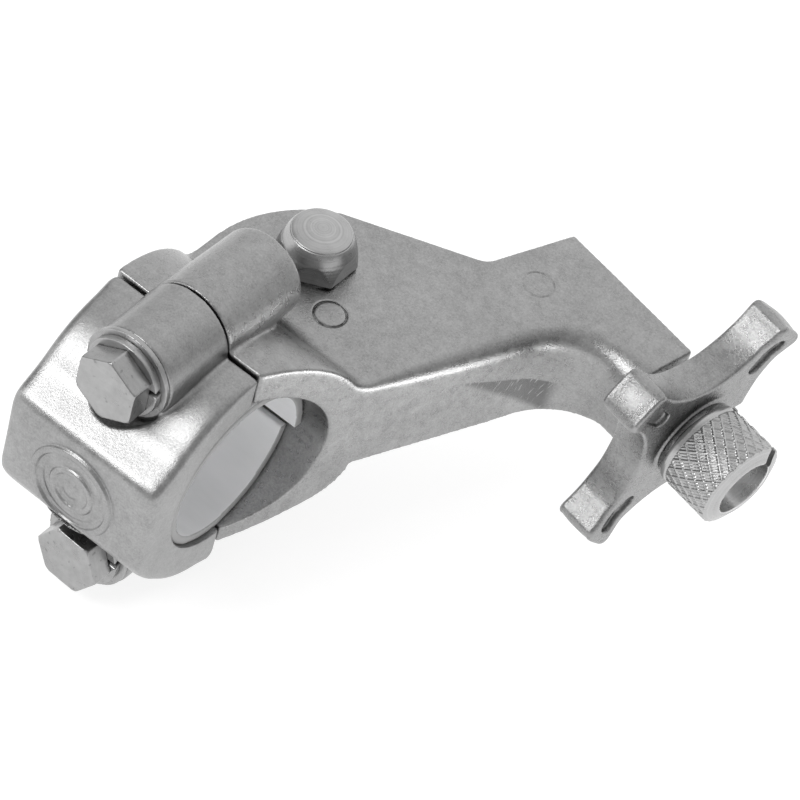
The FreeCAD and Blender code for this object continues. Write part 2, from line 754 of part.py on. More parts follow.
pieces = [make_perch(), make_cap(), make_sleeve(), make_wheel(), make_barrel(), *make_fasteners()]
check(pieces)
os.makedirs("parts", exist_ok=True)
for piece in pieces:
    print(piece.Label, len(piece.Shape.Solids), round(piece.Shape.Volume, 1))
    piece.Shape.exportStep(f"parts/{piece.Label}.step")
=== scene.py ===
"""Looks of the clutch perch.

Softened castings, a knurled barrel, metal and nylon finishes, the floor, the light and the camera.
Lengths are in metres, or in mm where a comment says so.
"""

import json
import math

import bmesh
import bpy
import numpy as np
from mathutils import Matrix, Vector, noise


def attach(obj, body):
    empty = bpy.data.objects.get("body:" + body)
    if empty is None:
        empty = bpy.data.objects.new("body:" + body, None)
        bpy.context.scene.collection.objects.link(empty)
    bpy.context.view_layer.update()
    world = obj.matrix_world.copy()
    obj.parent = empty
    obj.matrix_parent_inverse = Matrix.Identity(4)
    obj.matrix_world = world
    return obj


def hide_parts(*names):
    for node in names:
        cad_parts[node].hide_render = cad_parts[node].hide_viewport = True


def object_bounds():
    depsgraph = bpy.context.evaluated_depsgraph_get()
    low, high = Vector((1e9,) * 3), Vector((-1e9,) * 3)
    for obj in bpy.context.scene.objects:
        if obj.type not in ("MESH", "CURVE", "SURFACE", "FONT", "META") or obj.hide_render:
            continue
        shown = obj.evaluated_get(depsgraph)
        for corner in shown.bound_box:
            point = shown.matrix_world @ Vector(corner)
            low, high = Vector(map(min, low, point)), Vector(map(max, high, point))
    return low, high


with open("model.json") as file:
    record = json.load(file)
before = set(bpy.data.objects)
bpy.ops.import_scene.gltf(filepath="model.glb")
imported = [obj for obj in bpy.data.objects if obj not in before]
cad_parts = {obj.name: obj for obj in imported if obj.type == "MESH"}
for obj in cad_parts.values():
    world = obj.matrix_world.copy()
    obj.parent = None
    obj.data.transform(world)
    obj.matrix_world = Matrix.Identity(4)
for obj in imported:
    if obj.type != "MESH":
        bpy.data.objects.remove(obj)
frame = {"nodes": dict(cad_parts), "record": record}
cad_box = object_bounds()
nodes = frame["nodes"]
scene = bpy.context.scene
MM = 0.001


# ---------------------------------------------------------------- camera
CAMERA_PLACE = (0.1697, -0.2925, 0.3858)
CAMERA_RIGHT = (0.7679, 0.6084, 0.2006)
CAMERA_BACK = (0.2888, -0.6084, 0.7392)
LENS = 180
SENSOR_WIDTH = 36


def place_camera():
    """A long lens above and to the side of the clamp."""
    right = Vector(CAMERA_RIGHT).normalized()
    back = Vector(CAMERA_BACK).normalized()
    up = back.cross(right).normalized()
    right = up.cross(back)
    data = bpy.data.cameras.new("view")
    data.lens = LENS
    data.sensor_width = SENSOR_WIDTH
    data.clip_start = 0.01
    camera = bpy.data.objects.new("view", data)
    turn = Matrix((right, up, back)).transposed().to_4x4()
    camera.matrix_world = Matrix.Translation(CAMERA_PLACE) @ turn
    scene.collection.objects.link(camera)
    scene.camera = camera


# ---------------------------------------------------------------- shader helpers
RANGE_SOCKETS = ("From Min", "From Max", "To Min", "To Max")
ROUND_Z = (1, 1, 0)
ROUND_X = (0, 1, 1)


class Shader:
    """A material's node tree, with short ways to add and join nodes."""

    def __init__(self, name):
        self.material = bpy.data.materials.new(name)
        self.material.use_nodes = True
        self.tree = self.material.node_tree
        self.surface = self.tree.nodes["Principled BSDF"]
        self.place = self.node("TexCoord").outputs["Object"]

    def node(self, kind, **settings):
        made = self.tree.nodes.new("ShaderNode" + kind)
        for key, value in settings.items():
            setattr(made, key, value)
        return made

    def link(self, source, target):
        if isinstance(source, (int, float, tuple)):
            target.default_value = source
        else:
            self.tree.links.new(source, target)

    def noise(self, scale, detail=2.0, roughness=0.5, vector=None, stretch=None):
        """A noise from 0 to 1 with its features 1/scale metres apart."""
        made = self.node("TexNoise")
        made.inputs["Scale"].default_value = scale
        made.inputs["Detail"].default_value = detail
        made.inputs["Roughness"].default_value = roughness
        source = vector or self.place
        if stretch:
            mapping = self.node("Mapping")
            self.link(source, mapping.inputs["Vector"])
            mapping.inputs["Scale"].default_value = stretch
            source = mapping.outputs["Vector"]
        self.link(source, made.inputs["Vector"])
        return made.outputs["Fac"]

    def spread(self, source, low, high, to_low=0.0, to_high=1.0, smooth=False):
        """Map low..high of a source to to_low..to_high."""
        made = self.node("MapRange")
        if smooth:
            made.interpolation_type = "SMOOTHSTEP"
        self.link(source, made.inputs["Value"])
        for key, value in zip(RANGE_SOCKETS, (low, high, to_low, to_high)):
            made.inputs[key].default_value = value
        return made.outputs["Result"]

    def math(self, operation, first, second=0.0):
        made = self.node("Math", operation=operation)
        self.link(first, made.inputs[0])
        self.link(second, made.inputs[1])
        return made.outputs[0]

    def weigh(self, *parts):
        """The sum of some sources, each times its weight."""
        total = None
        for source, weight in parts:
            scaled = self.math("MULTIPLY", source, weight)
            total = scaled if total is None else self.math("ADD", total, scaled)
        return total

    def mix(self, share, first, second):
        """A blend of two colours by a share from 0 to 1."""
        made = self.node("Mix", data_type="RGBA")
        self.link(share, made.inputs[0])
        self.link(first, made.inputs[6])
        self.link(second, made.inputs[7])
        return made.outputs[2]

    def bump(self, height, distance, strength=1.0, before=None):
        made = self.node("Bump")
        made.inputs["Strength"].default_value = strength
        made.inputs["Distance"].default_value = distance
        self.link(height, made.inputs["Height"])
        if before is not None:
            self.link(before, made.inputs["Normal"])
        return made.outputs["Normal"]

    def parts(self, vector):
        """The three coordinates of a vector."""
        made = self.node("SeparateXYZ")
        self.link(vector, made.inputs[0])
        return made.outputs

    def facing(self):
        """The three coordinates of the surface's normal."""
        return self.parts(self.node("NewGeometry").outputs["Normal"])

    def finish(self, colour, gloss, normal, metallic=1.0):
        """Join a colour, a roughness and a normal to the surface."""
        surface = self.surface.inputs
        surface["Metallic"].default_value = metallic
        self.link(colour, surface["Base Color"])
        self.link(gloss, surface["Roughness"])
        self.link(normal, surface["Normal"])
        return self.material


def grey(value):
    return (value, value, value, 1.0)


def from_centre(shader, centre, axes):
    """A point's place from a centre, and how far off it is, counted along some axes only."""
    shifted = shader.node("VectorMath", operation="SUBTRACT")
    shader.link(shader.place, shifted.inputs[0])
    shifted.inputs[1].default_value = centre
    flat = shader.node("VectorMath", operation="MULTIPLY")
    shader.link(shifted.outputs[0], flat.inputs[0])
    flat.inputs[1].default_value = axes
    length = shader.node("VectorMath", operation="LENGTH")
    shader.link(flat.outputs[0], length.inputs[0])
    return shifted.outputs[0], length.outputs["Value"]


def round_mark(shader, centre, radius, width):
    """A share that is 1 on a ring about an upright axis through a centre, all in metres."""
    distance = from_centre(shader, centre, ROUND_Z)[1]
    off = shader.math("ABSOLUTE", shader.math("SUBTRACT", distance, radius))
    return shader.spread(off, 0.0, width, 1.0, 0.0, smooth=True)


def worn_ring_with_shade(shader, colour, normal, shade, mark):
    """An ejector mark's groove, partly worn away, added to a normal, with painted shade in the
    groove added to a colour.
    """
    centre, radius, depth = mark
    ring = round_mark(shader, centre, radius, 0.16 * MM)
    wear = shader.spread(shader.noise(420, 2, 0.6), 0.40, 0.60, 0.05, 1.0)
    ring = shader.math("MULTIPLY", ring, wear)
    # Painted shade: the groove is darkened in the colour, more so the deeper it is.
    colour = shader.mix(shader.math("MULTIPLY", ring, depth * 1700), colour, shade)
    return colour, shader.bump(shader.math("MULTIPLY", ring, -1.0), depth, 1.0, normal)


# The ground patch on the arm's inner wall: a band of heights for its slanted top and bottom, which
# fall by a share of the way forward, and a band across its forward end. Bands are in metres.
PATCH_END = (0.0425, 0.0438)
PATCH_TOP = (0.0127, 0.0131)
PATCH_TOP_FALL = 0.3
PATCH_BOTTOM = (0.0258, 0.0274)
PATCH_BOTTOM_FALL = 0.75
SCRATCH_LEAN = 0.30
SCRATCH_SQUEEZE = 0.12


def ground_patch(shader, colour, normal, light, dark):
    """A patch ground into the arm's inner wall before its bend: dark, with slanted scratches."""
    _, forward, height = shader.parts(shader.place)
    end = shader.spread(forward, *PATCH_END, 1.0, 0.0, smooth=True)
    top = shader.math("ADD", height, shader.math("MULTIPLY", forward, PATCH_TOP_FALL))
    top = shader.spread(top, *PATCH_TOP, 1.0, 0.0, smooth=True)
    bottom = shader.math("ADD", height, shader.math("MULTIPLY", forward, PATCH_BOTTOM_FALL))
    bottom = shader.spread(bottom, *PATCH_BOTTOM, smooth=True)
    where = shader.math("MULTIPLY", shader.math("MULTIPLY", top, end), bottom)
    inward, _, upward = shader.facing()
    upright = shader.spread(upward, 0.1, 0.4, 1.0, 0.0, smooth=True)
    inward = shader.spread(inward, 0.2, 0.6, smooth=True)
    where = shader.math("MULTIPLY", where, shader.math("MULTIPLY", upright, inward))
    slant = shader.node("CombineXYZ")
    lean = shader.math("MULTIPLY", height, SCRATCH_LEAN)
    shader.link(shader.math("SUBTRACT", forward, lean), slant.inputs[0])
    shader.link(shader.math("MULTIPLY", height, SCRATCH_SQUEEZE), slant.inputs[1])
    strokes = shader.noise(3200, 2, 0.6, slant.outputs[0])
    scratches = shader.spread(strokes, 0.56, 0.68, smooth=True)
    ground = shader.mix(scratches, grey(dark * 0.60), grey(light))
    colour = shader.mix(shader.math("MULTIPLY", where, 0.9), colour, ground)
    depth = shader.math("MULTIPLY", strokes, where)
    return colour, shader.bump(depth, 0.03 * MM, 1.0, normal)


def cast_metal(name, light, dark, rough, grain, marks=(), patch=False):
    """Tumbled cast aluminium: mottled tone, fine grain, pits, painted glints and a satin, uneven
    gloss.
    """
    shader = Shader(name)
    stains = shader.noise(110, 3, 0.6)
    smudges = shader.noise(700, 3, 0.6)
    speckle = shader.noise(3600, 3, 0.7)
    tone = shader.weigh((stains, 0.22), (smudges, 0.30), (speckle, 0.48))
    colour = shader.mix(shader.spread(tone, 0.36, 0.64), grey(dark), grey(light))
    pits = shader.spread(shader.noise(1900, 1, 0.4), 0.66, 0.78, 0.0, 0.22, smooth=True)
    colour = shader.mix(pits, colour, grey(dark * 0.6))
    # Painted glints: sparse specks painted brighter than the lightest tone of the metal.
    painted_glints = shader.spread(shader.noise(3300, 1, 0.5), 0.70, 0.84, 0.0, 0.35, smooth=True)
    colour = shader.mix(painted_glints, colour, grey(light * 1.45))
    gloss = shader.spread(smudges, 0.3, 0.7, rough - 0.03, rough + 0.05)
    normal = shader.bump(speckle, grain * MM)
    normal = shader.bump(smudges, grain * 0.3 * MM, 1.0, normal)
    for mark in marks:
        # Each ejector mark: a groove in the bump, darkened by painted shade.
        colour, normal = worn_ring_with_shade(shader, colour, normal, grey(dark * 0.4), mark)
    if patch:
        colour, normal = ground_patch(shader, colour, normal, light, dark)
    return shader.finish(colour, gloss, normal)


def plated_steel(name, light, dark, rough):
    """Zinc-plated steel with faint blotches, rolled scratches and small dark nicks."""
    shader = Shader(name)
    blotches = shader.noise(420, 3, 0.6)
    streaks = shader.noise(1.0, 2, 0.6, stretch=(900, 2500, 900))
    tone = shader.weigh((blotches, 0.6), (streaks, 0.4))
    colour = shader.mix(shader.spread(tone, 0.35, 0.65), grey(dark), grey(light))
    nicks = shader.spread(shader.noise(1300, 1, 0.5), 0.68, 0.74, smooth=True)
    colour = shader.mix(shader.math("MULTIPLY", nicks, 0.5), colour, grey(dark * 0.5))
    gloss = shader.spread(blotches, 0.3, 0.7, rough - 0.06, rough + 0.08)
    normal = shader.bump(streaks, 0.012 * MM)
    normal = shader.bump(blotches, 0.03 * MM, 1.0, normal)
    return shader.finish(colour, gloss, normal)


def turned_metal(name, light, dark, rough, centre, axis, groove, line=None, bore=None):
    """Metal off a lathe, with fine rings about a centre and square to the axis ("X" or "Z").

    It can have one grooved line, and a bore with painted light in it, each with its radius.
    """
    shader = Shader(name)
    shifted, distance = from_centre(shader, centre, ROUND_X if axis == "X" else ROUND_Z)
    along = shader.parts(shifted)[0 if axis == "X" else 2]
    rings = shader.node("TexNoise", noise_dimensions="1D")
    rings.inputs["Scale"].default_value = 4200
    rings.inputs["Detail"].default_value = 2.0
    shader.link(shader.math("ADD", distance, along), rings.inputs["W"])
    rings = rings.outputs["Fac"]
    blotches = shader.noise(500, 3, 0.6)
    tone = shader.weigh((rings, 0.5), (blotches, 0.5))
    colour = shader.mix(shader.spread(tone, 0.35, 0.65), grey(dark), grey(light))
    if bore:
        # Painted light: inside the bore's radius the colour is painted nearly white, as if lit.
        painted_light_in_bore = shader.spread(distance, bore, bore + 0.15 * MM, 1.0, 0.0, smooth=True)
        colour = shader.mix(painted_light_in_bore, colour, shader.mix(rings, grey(0.80), grey(0.96)))
    gloss = shader.spread(blotches, 0.3, 0.7, rough - 0.05, rough + 0.06)
    normal = shader.bump(rings, groove * MM)
    if line:
        ring = round_mark(shader, centre, line, 0.10 * MM)
        normal = shader.bump(shader.math("MULTIPLY", ring, -1.0), 0.06 * MM, 1.0, normal)
    surface = shader.surface.inputs
    surface["Anisotropic"].default_value = 0.5
    tangent = shader.node("Tangent", direction_type="RADIAL", axis=axis)
    shader.link(tangent.outputs[0], surface["Tangent"])
    return shader.finish(colour, gloss, normal)


def nylon(name, light, dark, end_shade=1.0):
    """Moulded white nylon: milky and softly glossy, with faint flow marks and painted shade on its
    end faces.
    """
    shader = Shader(name)
    flow = shader.noise(1.0, 3, 0.55, stretch=(60, 260, 260))
    skin = shader.noise(1800, 2, 0.5)
    colour = shader.mix(shader.spread(flow, 0.3, 0.7), dark, light)
    # Painted shade: faces turned along X, the end faces, are darkened towards a share of the dark
    # tone.
    sideways = shader.math("ABSOLUTE", shader.facing()[0])
    ends = shader.spread(sideways, 0.25, 0.7, smooth=True)
    colour = shader.mix(ends, colour, grey(dark[0] * end_shade))
    gloss = shader.spread(flow, 0.3, 0.7, 0.34, 0.46)
    normal = shader.bump(skin, 0.006 * MM)
    normal = shader.bump(flow, 0.03 * MM, 1.0, normal)
    surface = shader.surface.inputs
    surface["IOR"].default_value = 1.53
    surface["Subsurface Weight"].default_value = 0.25
    surface["Subsurface Scale"].default_value = 0.0015
    surface["Subsurface Radius"].default_value = (1.0, 0.95, 0.9)
    return shader.finish(colour, gloss, normal, metallic=0.0)


# ---------------------------------------------------------------- mesh helpers
def add_object(name, mesh, material):
    piece = bpy.data.objects.new(name, mesh)
    scene.collection.objects.link(piece)
    mesh.materials.clear()
    mesh.materials.append(material)
    return piece


def settle(piece):
    """Turn a piece's modifiers into its mesh and shade it smooth."""
    graph = bpy.context.evaluated_depsgraph_get()
    mesh = bpy.data.meshes.new_from_object(piece.evaluated_get(graph))
    piece.modifiers.clear()
    piece.data = mesh
    mesh.shade_smooth()
    return piece


def add_modifier(piece, kind, **settings):
    modifier = piece.modifiers.new(kind.lower(), kind)
    for key, value in settings.items():
        setattr(modifier, key, value)
    return modifier


def vertices(mesh):
    flat = np.empty(len(mesh.vertices) * 3)
    mesh.vertices.foreach_get("co", flat)
    return flat.reshape(-1, 3)


def normals(mesh):
    flat = np.empty(len(mesh.vertices) * 3)
    mesh.vertices.foreach_get("normal", flat)
    return flat.reshape(-1, 3)


def set_vertices(mesh, places):
    mesh.vertices.foreach_set("co", places.reshape(-1))
    mesh.update()


def smoothstep(low, high, value):
    share = np.clip((value - low) / (high - low), 0, 1)
    return share * share * (3 - 2 * share)


def rounded_copy(node, name, material, voxel, rounds, to_local=None):
    """A copy of a CAD node with worn edges, remade in even faces of the voxel's size (mm)."""
    mesh = nodes[node].data.copy()
    if to_local is not None:
        mesh.transform(to_local)
    piece = add_object(name, mesh, material)
    add_modifier(piece, "REMESH", mode="VOXEL", voxel_size=voxel * MM)
    add_modifier(piece, "SMOOTH", factor=0.5, iterations=rounds)
    return settle(piece)


def roughen(piece, size, height, seed):
    """Push the surface in and out by a slow noise: size and height in mm."""
    mesh = piece.data
    places = vertices(mesh)
    outward = normals(mesh)
    shift = Vector((seed * 7.3, seed * 3.1, seed * 5.7))
    scale = 1 / (size * MM)
    amount = np.array([noise.noise(Vector(place) * scale + shift) for place in places])
    set_vertices(mesh, places + outward * (amount * height * MM)[:, None])


SOFT_LEVELS = 4


def soften(piece, share, rounds):
    """Smooth a piece where a share from 0 to 1, one for each vertex, says so."""
    group = piece.vertex_groups.new(name="soft")
    for level in range(1, SOFT_LEVELS + 1):
        low = (level - 0.5) / SOFT_LEVELS
        high = (level + 0.5) / SOFT_LEVELS
        chosen = np.nonzero((share > low) & (share <= high))[0]
        group.add(chosen.tolist(), level / SOFT_LEVELS, "REPLACE")
    add_modifier(piece, "SMOOTH", factor=0.5, iterations=rounds, vertex_group="soft")
    settle(piece)
    piece.vertex_groups.clear()


# The clamp's rims, in mm: how far along the bar from its middle and from the bar's axis they begin.
CLAMP_MIDDLE = -0.2
RIM_ALONG = (8.2, 10.6)
RIM_OUT = (13.4, 15.0)
RIM_FADE = 3


def rim_share(piece, reach):
    """A share that is 1 on the rims of the clamp's two ends, for places up to y = reach (mm)."""
    places = vertices(piece.data) / MM
    ends = smoothstep(*RIM_ALONG, np.abs(places[:, 0] - CLAMP_MIDDLE))
    outside = smoothstep(*RIM_OUT, np.hypot(places[:, 1], places[:, 2]))
    return ends * outside * smoothstep(reach + RIM_FADE, reach, places[:, 1])


def refine(piece, centre, radius):
    """Halve the edges of the faces near a centre (mm), for a relief to be pressed into them."""
    mesh = piece.data
    finer = bmesh.new()
    finer.from_mesh(mesh)
    middle = Vector(centre) * MM
    edges = [edge for edge in finer.edges
             if (edge.verts[0].co - middle).length < radius * MM]
    bmesh.ops.subdivide_edges(finer, edges=edges, cuts=1, use_grid_fill=True)
    finer.to_mesh(mesh)
    finer.free()
    mesh.shade_smooth()


# The cap's front face and its badge, in mm. Below its crease the face turns back.
FRONT = -18.2
BADGE_ACROSS = -0.3
BADGE_LEVEL = -0.5
BADGE_RELIEF = 0.45
# Each raised ring's inner and outer edge, from one radius to another, and its share of the relief.
BADGE_RINGS = (((5.5, 5.85), (6.45, 6.8), 1.0), ((2.5, 2.85), (3.35, 3.7), 0.75))
BADGE_REACH = (7.0, 7.6)
CREASE_RADIUS = 2.5
CREASE_TOP = -5.05
CREASE_BOTTOM = -6.63
FACE_SLOPE = 0.81


def cap_front(level):
    """Where the cap's front face is at a height, in mm."""
    turned = np.clip(CREASE_TOP - level, 0, CREASE_TOP - CREASE_BOTTOM)
    bend = CREASE_RADIUS - np.sqrt(CREASE_RADIUS ** 2 - turned ** 2)
    return FRONT + bend + np.clip(CREASE_BOTTOM - level, 0, None) * FACE_SLOPE


def press_badge(piece):
    """A plain round badge of raised rings on the cap's front face."""
    refine(piece, (BADGE_ACROSS, FRONT, BADGE_LEVEL), 8.0)
    mesh = piece.data
    places = vertices(mesh) / MM
    outward = normals(mesh)
    off = np.hypot(places[:, 0] - BADGE_ACROSS, places[:, 2] - BADGE_LEVEL)
    rings = np.zeros(len(off))
    for inner, outer, height in BADGE_RINGS:
        rings += height * (smoothstep(*inner, off) - smoothstep(*outer, off))
    rings += 0.5 * (1 - smoothstep(0.9, 1.5, off)) - 0.25 * np.exp(-(((off - 4.9) / 0.35) ** 2))
    share = (1 - smoothstep(*BADGE_REACH, off)) * smoothstep(0.2, 0.5, -outward[:, 1])
    share *= places[:, 1] < -15.5
    wanted = cap_front(places[:, 2]) - BADGE_RELIEF * rings
    places[:, 1] += (wanted - places[:, 1]) * share
    set_vertices(mesh, places * MM)


# The plate's top and its two ejector marks, in mm: each mark's two coordinates and its depth.
PLATE_TOP = 9.0
MARK_RADIUS = 2.2
MARK_REACH = 3.0
MARK_GROOVE = 0.15
MARK_DISC = (1.8, 2.1)
MARK_RISE = 0.04
MARKS = ((7.1, 22.2, 0.18), (22.5, 47.6, 0.05))


def press_marks(piece):
    """The two round ejector marks on the plate: a groove round a barely raised disc."""
    for across, forward, depth in MARKS:
        refine(piece, (across, forward, PLATE_TOP), MARK_REACH)
        mesh = piece.data
        places = vertices(mesh) / MM
        off = np.hypot(places[:, 0] - across, places[:, 1] - forward)
        on_top = (places[:, 2] > PLATE_TOP - 0.6) & (off < MARK_REACH)
        relief = -depth * np.exp(-(((off - MARK_RADIUS) / MARK_GROOVE) ** 2))
        relief += MARK_RISE * (1 - smoothstep(*MARK_DISC, off))
        places[on_top, 2] = PLATE_TOP + relief[on_top]
        set_vertices(mesh, places * MM)


def thin_out(piece, faces):
    """Bring a piece down to about a number of triangles."""
    triangles = sum(len(polygon.vertices) - 2 for polygon in piece.data.polygons)
    if triangles > faces:
        add_modifier(piece, "DECIMATE", ratio=faces / triangles)
        settle(piece)


def finish_piece(piece, node, body):
    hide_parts(node)
    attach(piece, body)


# ---------------------------------------------------------------- adjuster frame
def adjuster_frame():
    """The matrix from the adjuster's own frame (+X out of the barrel's mouth) to the object's."""
    joints = frame["record"]["behaviour"]["joints"]
    turn = next(item for item in joints if item["name"] == "wheel_turn")
    along = Vector(turn["axis"]).normalized()
    left = Vector((0, 0, 1)).cross(along).normalized()
    up = along.cross(left)
    turning = Matrix((along, left, up)).transposed().to_4x4()
    return Matrix.Translation(turn["pos_m"]) @ turning


# The wheel in its own frame, in mm: its two faces and their middle, its arms' half width, where
# their step and end begin, and how far the flare, the pocket, the crown in it and the step go.
WHEEL_BACK = -15.4
WHEEL_FRONT = -9.8
WHEEL_MIDDLE = -12.6
ARM_HALF = 3.4
ARM_STEP = 14.0
ARM_END = 17.6
ARMS = 4
FLARE_RISE = 0.55
POCKET_DEPTH = 0.20
CROWN_RISE = 0.40
STEP_RISE = 0.10


def shape_wheel(piece):
    """Flared tips, a raised rim and a crown on each arm's end, and a faint step before it."""
    mesh = piece.data
    places = vertices(mesh) / MM
    outward = normals(mesh)
    for number in range(ARMS):
        angle = math.radians(45 + 360 / ARMS * number)
        direction = np.array([0, math.cos(angle), math.sin(angle)])
        out = places[:, 1] * math.cos(angle) + places[:, 2] * math.sin(angle)
        side = -places[:, 1] * math.sin(angle) + places[:, 2] * math.cos(angle)
        on_arm = out > np.abs(side) * 1.5
        flare = smoothstep(ARM_STEP, 18.5, out) * smoothstep(-13.5, -10.5, places[:, 0])
        flare = flare * FLARE_RISE
        facing_out = outward @ direction
        from_faces = np.minimum(places[:, 0] - WHEEL_BACK, WHEEL_FRONT - places[:, 0])
        rim = np.minimum(ARM_HALF - np.abs(side), from_faces)
        middle = np.clip(1 - (side / 3.2) ** 2, 0, 1)
        middle = middle * np.clip(1 - ((places[:, 0] - WHEEL_MIDDLE) / 2.7) ** 2, 0, 1)
        end = on_arm & (out > ARM_END)
        depth = smoothstep(0.40, 0.75, rim) * (-POCKET_DEPTH + CROWN_RISE * middle)
        places[end] += (depth * smoothstep(0.5, 0.9, facing_out))[end, None] * direction
        sides = smoothstep(0.4, 0.8, 1 - np.abs(outward[:, 0]))
        sides = sides * smoothstep(0.55, 0.2, facing_out)
        step = smoothstep(ARM_STEP, ARM_STEP + 1.2, out) * STEP_RISE
        places[on_arm] += ((step * sides)[:, None] * outward)[on_arm]
        places[on_arm, 0] += flare[on_arm]
    set_vertices(mesh, places * MM)
    add_modifier(piece, "SMOOTH", factor=0.5, iterations=3)
    settle(piece)


# ---------------------------------------------------------------- barrel
# The barrel in its own frame, in mm, with +X out of its mouth.
HEAD_RADIUS = 6.6
KNURL_BACK = -7.65
KNURL_DEPTH = 0.22
KNURL_STEP = 0.078
BEVEL_START = -0.35
MOUTH = 0.5
RIM_RADIUS = 4.7
SLOT_HALF = 0.95
SLOT_TURN = 45.0
RIDGES = 26
COLUMNS = 560
MOUTH_STATIONS = [
    (0.44, 4.24, 0), (0.48, 4.36, 0), (MOUTH, 4.48, 0), (MOUTH, 4.62, 0), (0.48, 4.68, 0),
    (0.40, 4.84, 0), (0.2, 5.28, 0), (0.0, 5.74, 0), (-0.12, 6.02, 1),
]
SHANK_STATIONS = [
    (KNURL_BACK - 0.1, 6.44, 0), (-7.85, 6.5, 0), (-8.4, 6.5, 0), (-8.6, 6.44, 0), (-8.7, 6.3, 0),
    (-8.7, 4.2, 0), (-8.85, 4.05, 0), (-9.0, 4.0, 0), (-20.0, 4.0, 0), (-30.5, 4.0, 0),
    (-30.7, 3.8, 0),
]
BORE_STATIONS = [
    (-30.7, 1.4, 0), (-30.6, 1.3, 0), (-20.0, 1.3, 0), (-6.1, 1.3, 0), (-6.0, 1.4, 0),
    (-6.0, 4.1, 0), (-5.9, 4.2, 0), (-3.0, 4.2, 0), (0.2, 4.2, 0), (0.36, 4.21, 0),
]


def knurl_height(along, around):
    """Height of the crossed knurl in mm: two families of ridges, with finer marks between them."""
    pitch = 2 * math.pi * HEAD_RADIUS / RIDGES
    first = (around - 0.667 * along) / pitch
    second = (around + 0.79 * along) / pitch

    def ridge(value, width):
        off = np.abs(value - np.round(value)) * pitch * 0.8
        strength = 0.82 + 0.18 * np.sin(np.round(value) * 12.9)
        return np.exp(-((off / width) ** 2)) * strength
    crests = np.maximum(ridge(first, 0.17), 0.85 * ridge(second, 0.15))
    marks = 0.5 + 0.5 * np.cos(second * 6 * math.pi)
    return KNURL_DEPTH * (crests + 0.38 * marks * (1 - crests))


def barrel_profile():
    """Stations (x, radius, knurled) round the section, from the mouth back and out by the bore."""
    start = BEVEL_START + 0.19
    rows = int((start - KNURL_BACK) / KNURL_STEP)
    knurl = [(start - KNURL_STEP * row, HEAD_RADIUS, 1) for row in range(rows)]
    return MOUTH_STATIONS + knurl + SHANK_STATIONS + BORE_STATIONS


def barrel_row(along, radius, knurled):
    """The angles and radii of one station, from one side of the cable slot to the other."""
    start = math.asin(SLOT_HALF / radius)
    angles = start + (2 * math.pi - 2 * start) * np.arange(COLUMNS + 1) / COLUMNS
    radii = np.full(COLUMNS + 1, radius)
    if knurled:
        fade = float(smoothstep(KNURL_BACK, KNURL_BACK + 0.25, np.array(along)))
        relief = knurl_height(along, angles * HEAD_RADIUS) * fade
        radii = HEAD_RADIUS - KNURL_DEPTH + relief
        slope = (HEAD_RADIUS - RIM_RADIUS) / (MOUTH - BEVEL_START)
        radii = np.minimum(radii, HEAD_RADIUS - (along - BEVEL_START) * slope)
    return angles + math.radians(SLOT_TURN), radii


def make_barrel(material, to_object):
    """The adjuster barrel, swept round its axis."""
    swept = bmesh.new()
    rows = []
    for along, radius, knurled in barrel_profile():
        angles, radii = barrel_row(along, radius, knurled)
        rows.append([swept.verts.new((along * MM, r * math.cos(a) * MM, r * math.sin(a) * MM))
                     for r, a in zip(radii, angles)])
    for first, second in zip(rows, rows[1:] + rows[:1]):
        for column in range(COLUMNS):
            swept.faces.new((first[column], first[column + 1],
                             second[column + 1], second[column]))
    for column, flip in ((0, False), (-1, True)):
        wall = [row[column] for row in rows]
        swept.faces.new(wall[::-1] if flip else wall)
    bmesh.ops.recalc_face_normals(swept, faces=swept.faces)
    mesh = bpy.data.meshes.new("barrel_knurled")
    swept.to_mesh(mesh)
    swept.free()
    piece = add_object("barrel_knurled", mesh, material)
    mesh.shade_smooth()
    mesh.set_sharp_from_angle(angle=math.radians(40))
    piece.matrix_world = to_object
    return piece


# ---------------------------------------------------------------- object
place_camera()
PLATE_MARKS = [((across * MM, forward * MM, 0), MARK_RADIUS * MM, depth * MM)
               for across, forward, depth in MARKS]
CAST_BODY = cast_metal("cast_body", light=0.41, dark=0.25, rough=0.28, grain=0.050,
                       marks=PLATE_MARKS, patch=True)
CAST_CAP = cast_metal("cast_cap", light=0.41, dark=0.26, rough=0.33, grain=0.034)
CAST_WHEEL = cast_metal("cast_wheel", light=0.40, dark=0.22, rough=0.27, grain=0.070)
ZINC = plated_steel("zinc_steel", light=0.42, dark=0.33, rough=0.30)
# The sleeve's end faces get a deeper painted shade.
SLEEVE = nylon("sleeve_nylon", (0.80, 0.80, 0.81, 1), (0.73, 0.735, 0.74, 1), end_shade=0.45)
NUT_NYLON = nylon("nut_nylon", (0.86, 0.86, 0.83, 1), (0.78, 0.78, 0.75, 1))
PIVOT_CENTRE = (-0.4 * MM, 28.2 * MM, 0)
PIVOT = turned_metal("pivot_steel", light=0.48, dark=0.36, rough=0.30, centre=PIVOT_CENTRE,
                     axis="Z", groove=0.016, line=4.15 * MM)
# The barrel's bore is painted light.
TURNED = turned_metal("turned_barrel", light=0.52, dark=0.42, rough=0.28, centre=(0, 0, 0),
                      axis="X", groove=0.008, bore=4.22 * MM)

perch = rounded_copy("perch_body", "perch_casting", CAST_BODY, voxel=0.22, rounds=6)
soften(perch, rim_share(perch, reach=12), rounds=30)
roughen(perch, size=5.0, height=0.03, seed=1)
thin_out(perch, 190_000)
press_marks(perch)
finish_piece(perch, "perch_body", "perch")

cap = rounded_copy("clamp_cap", "cap_casting", CAST_CAP, voxel=0.20, rounds=10)
soften(cap, rim_share(cap, reach=-4), rounds=150)
roughen(cap, size=6.0, height=0.03, seed=2)
thin_out(cap, 150_000)
press_badge(cap)
finish_piece(cap, "clamp_cap", "perch")

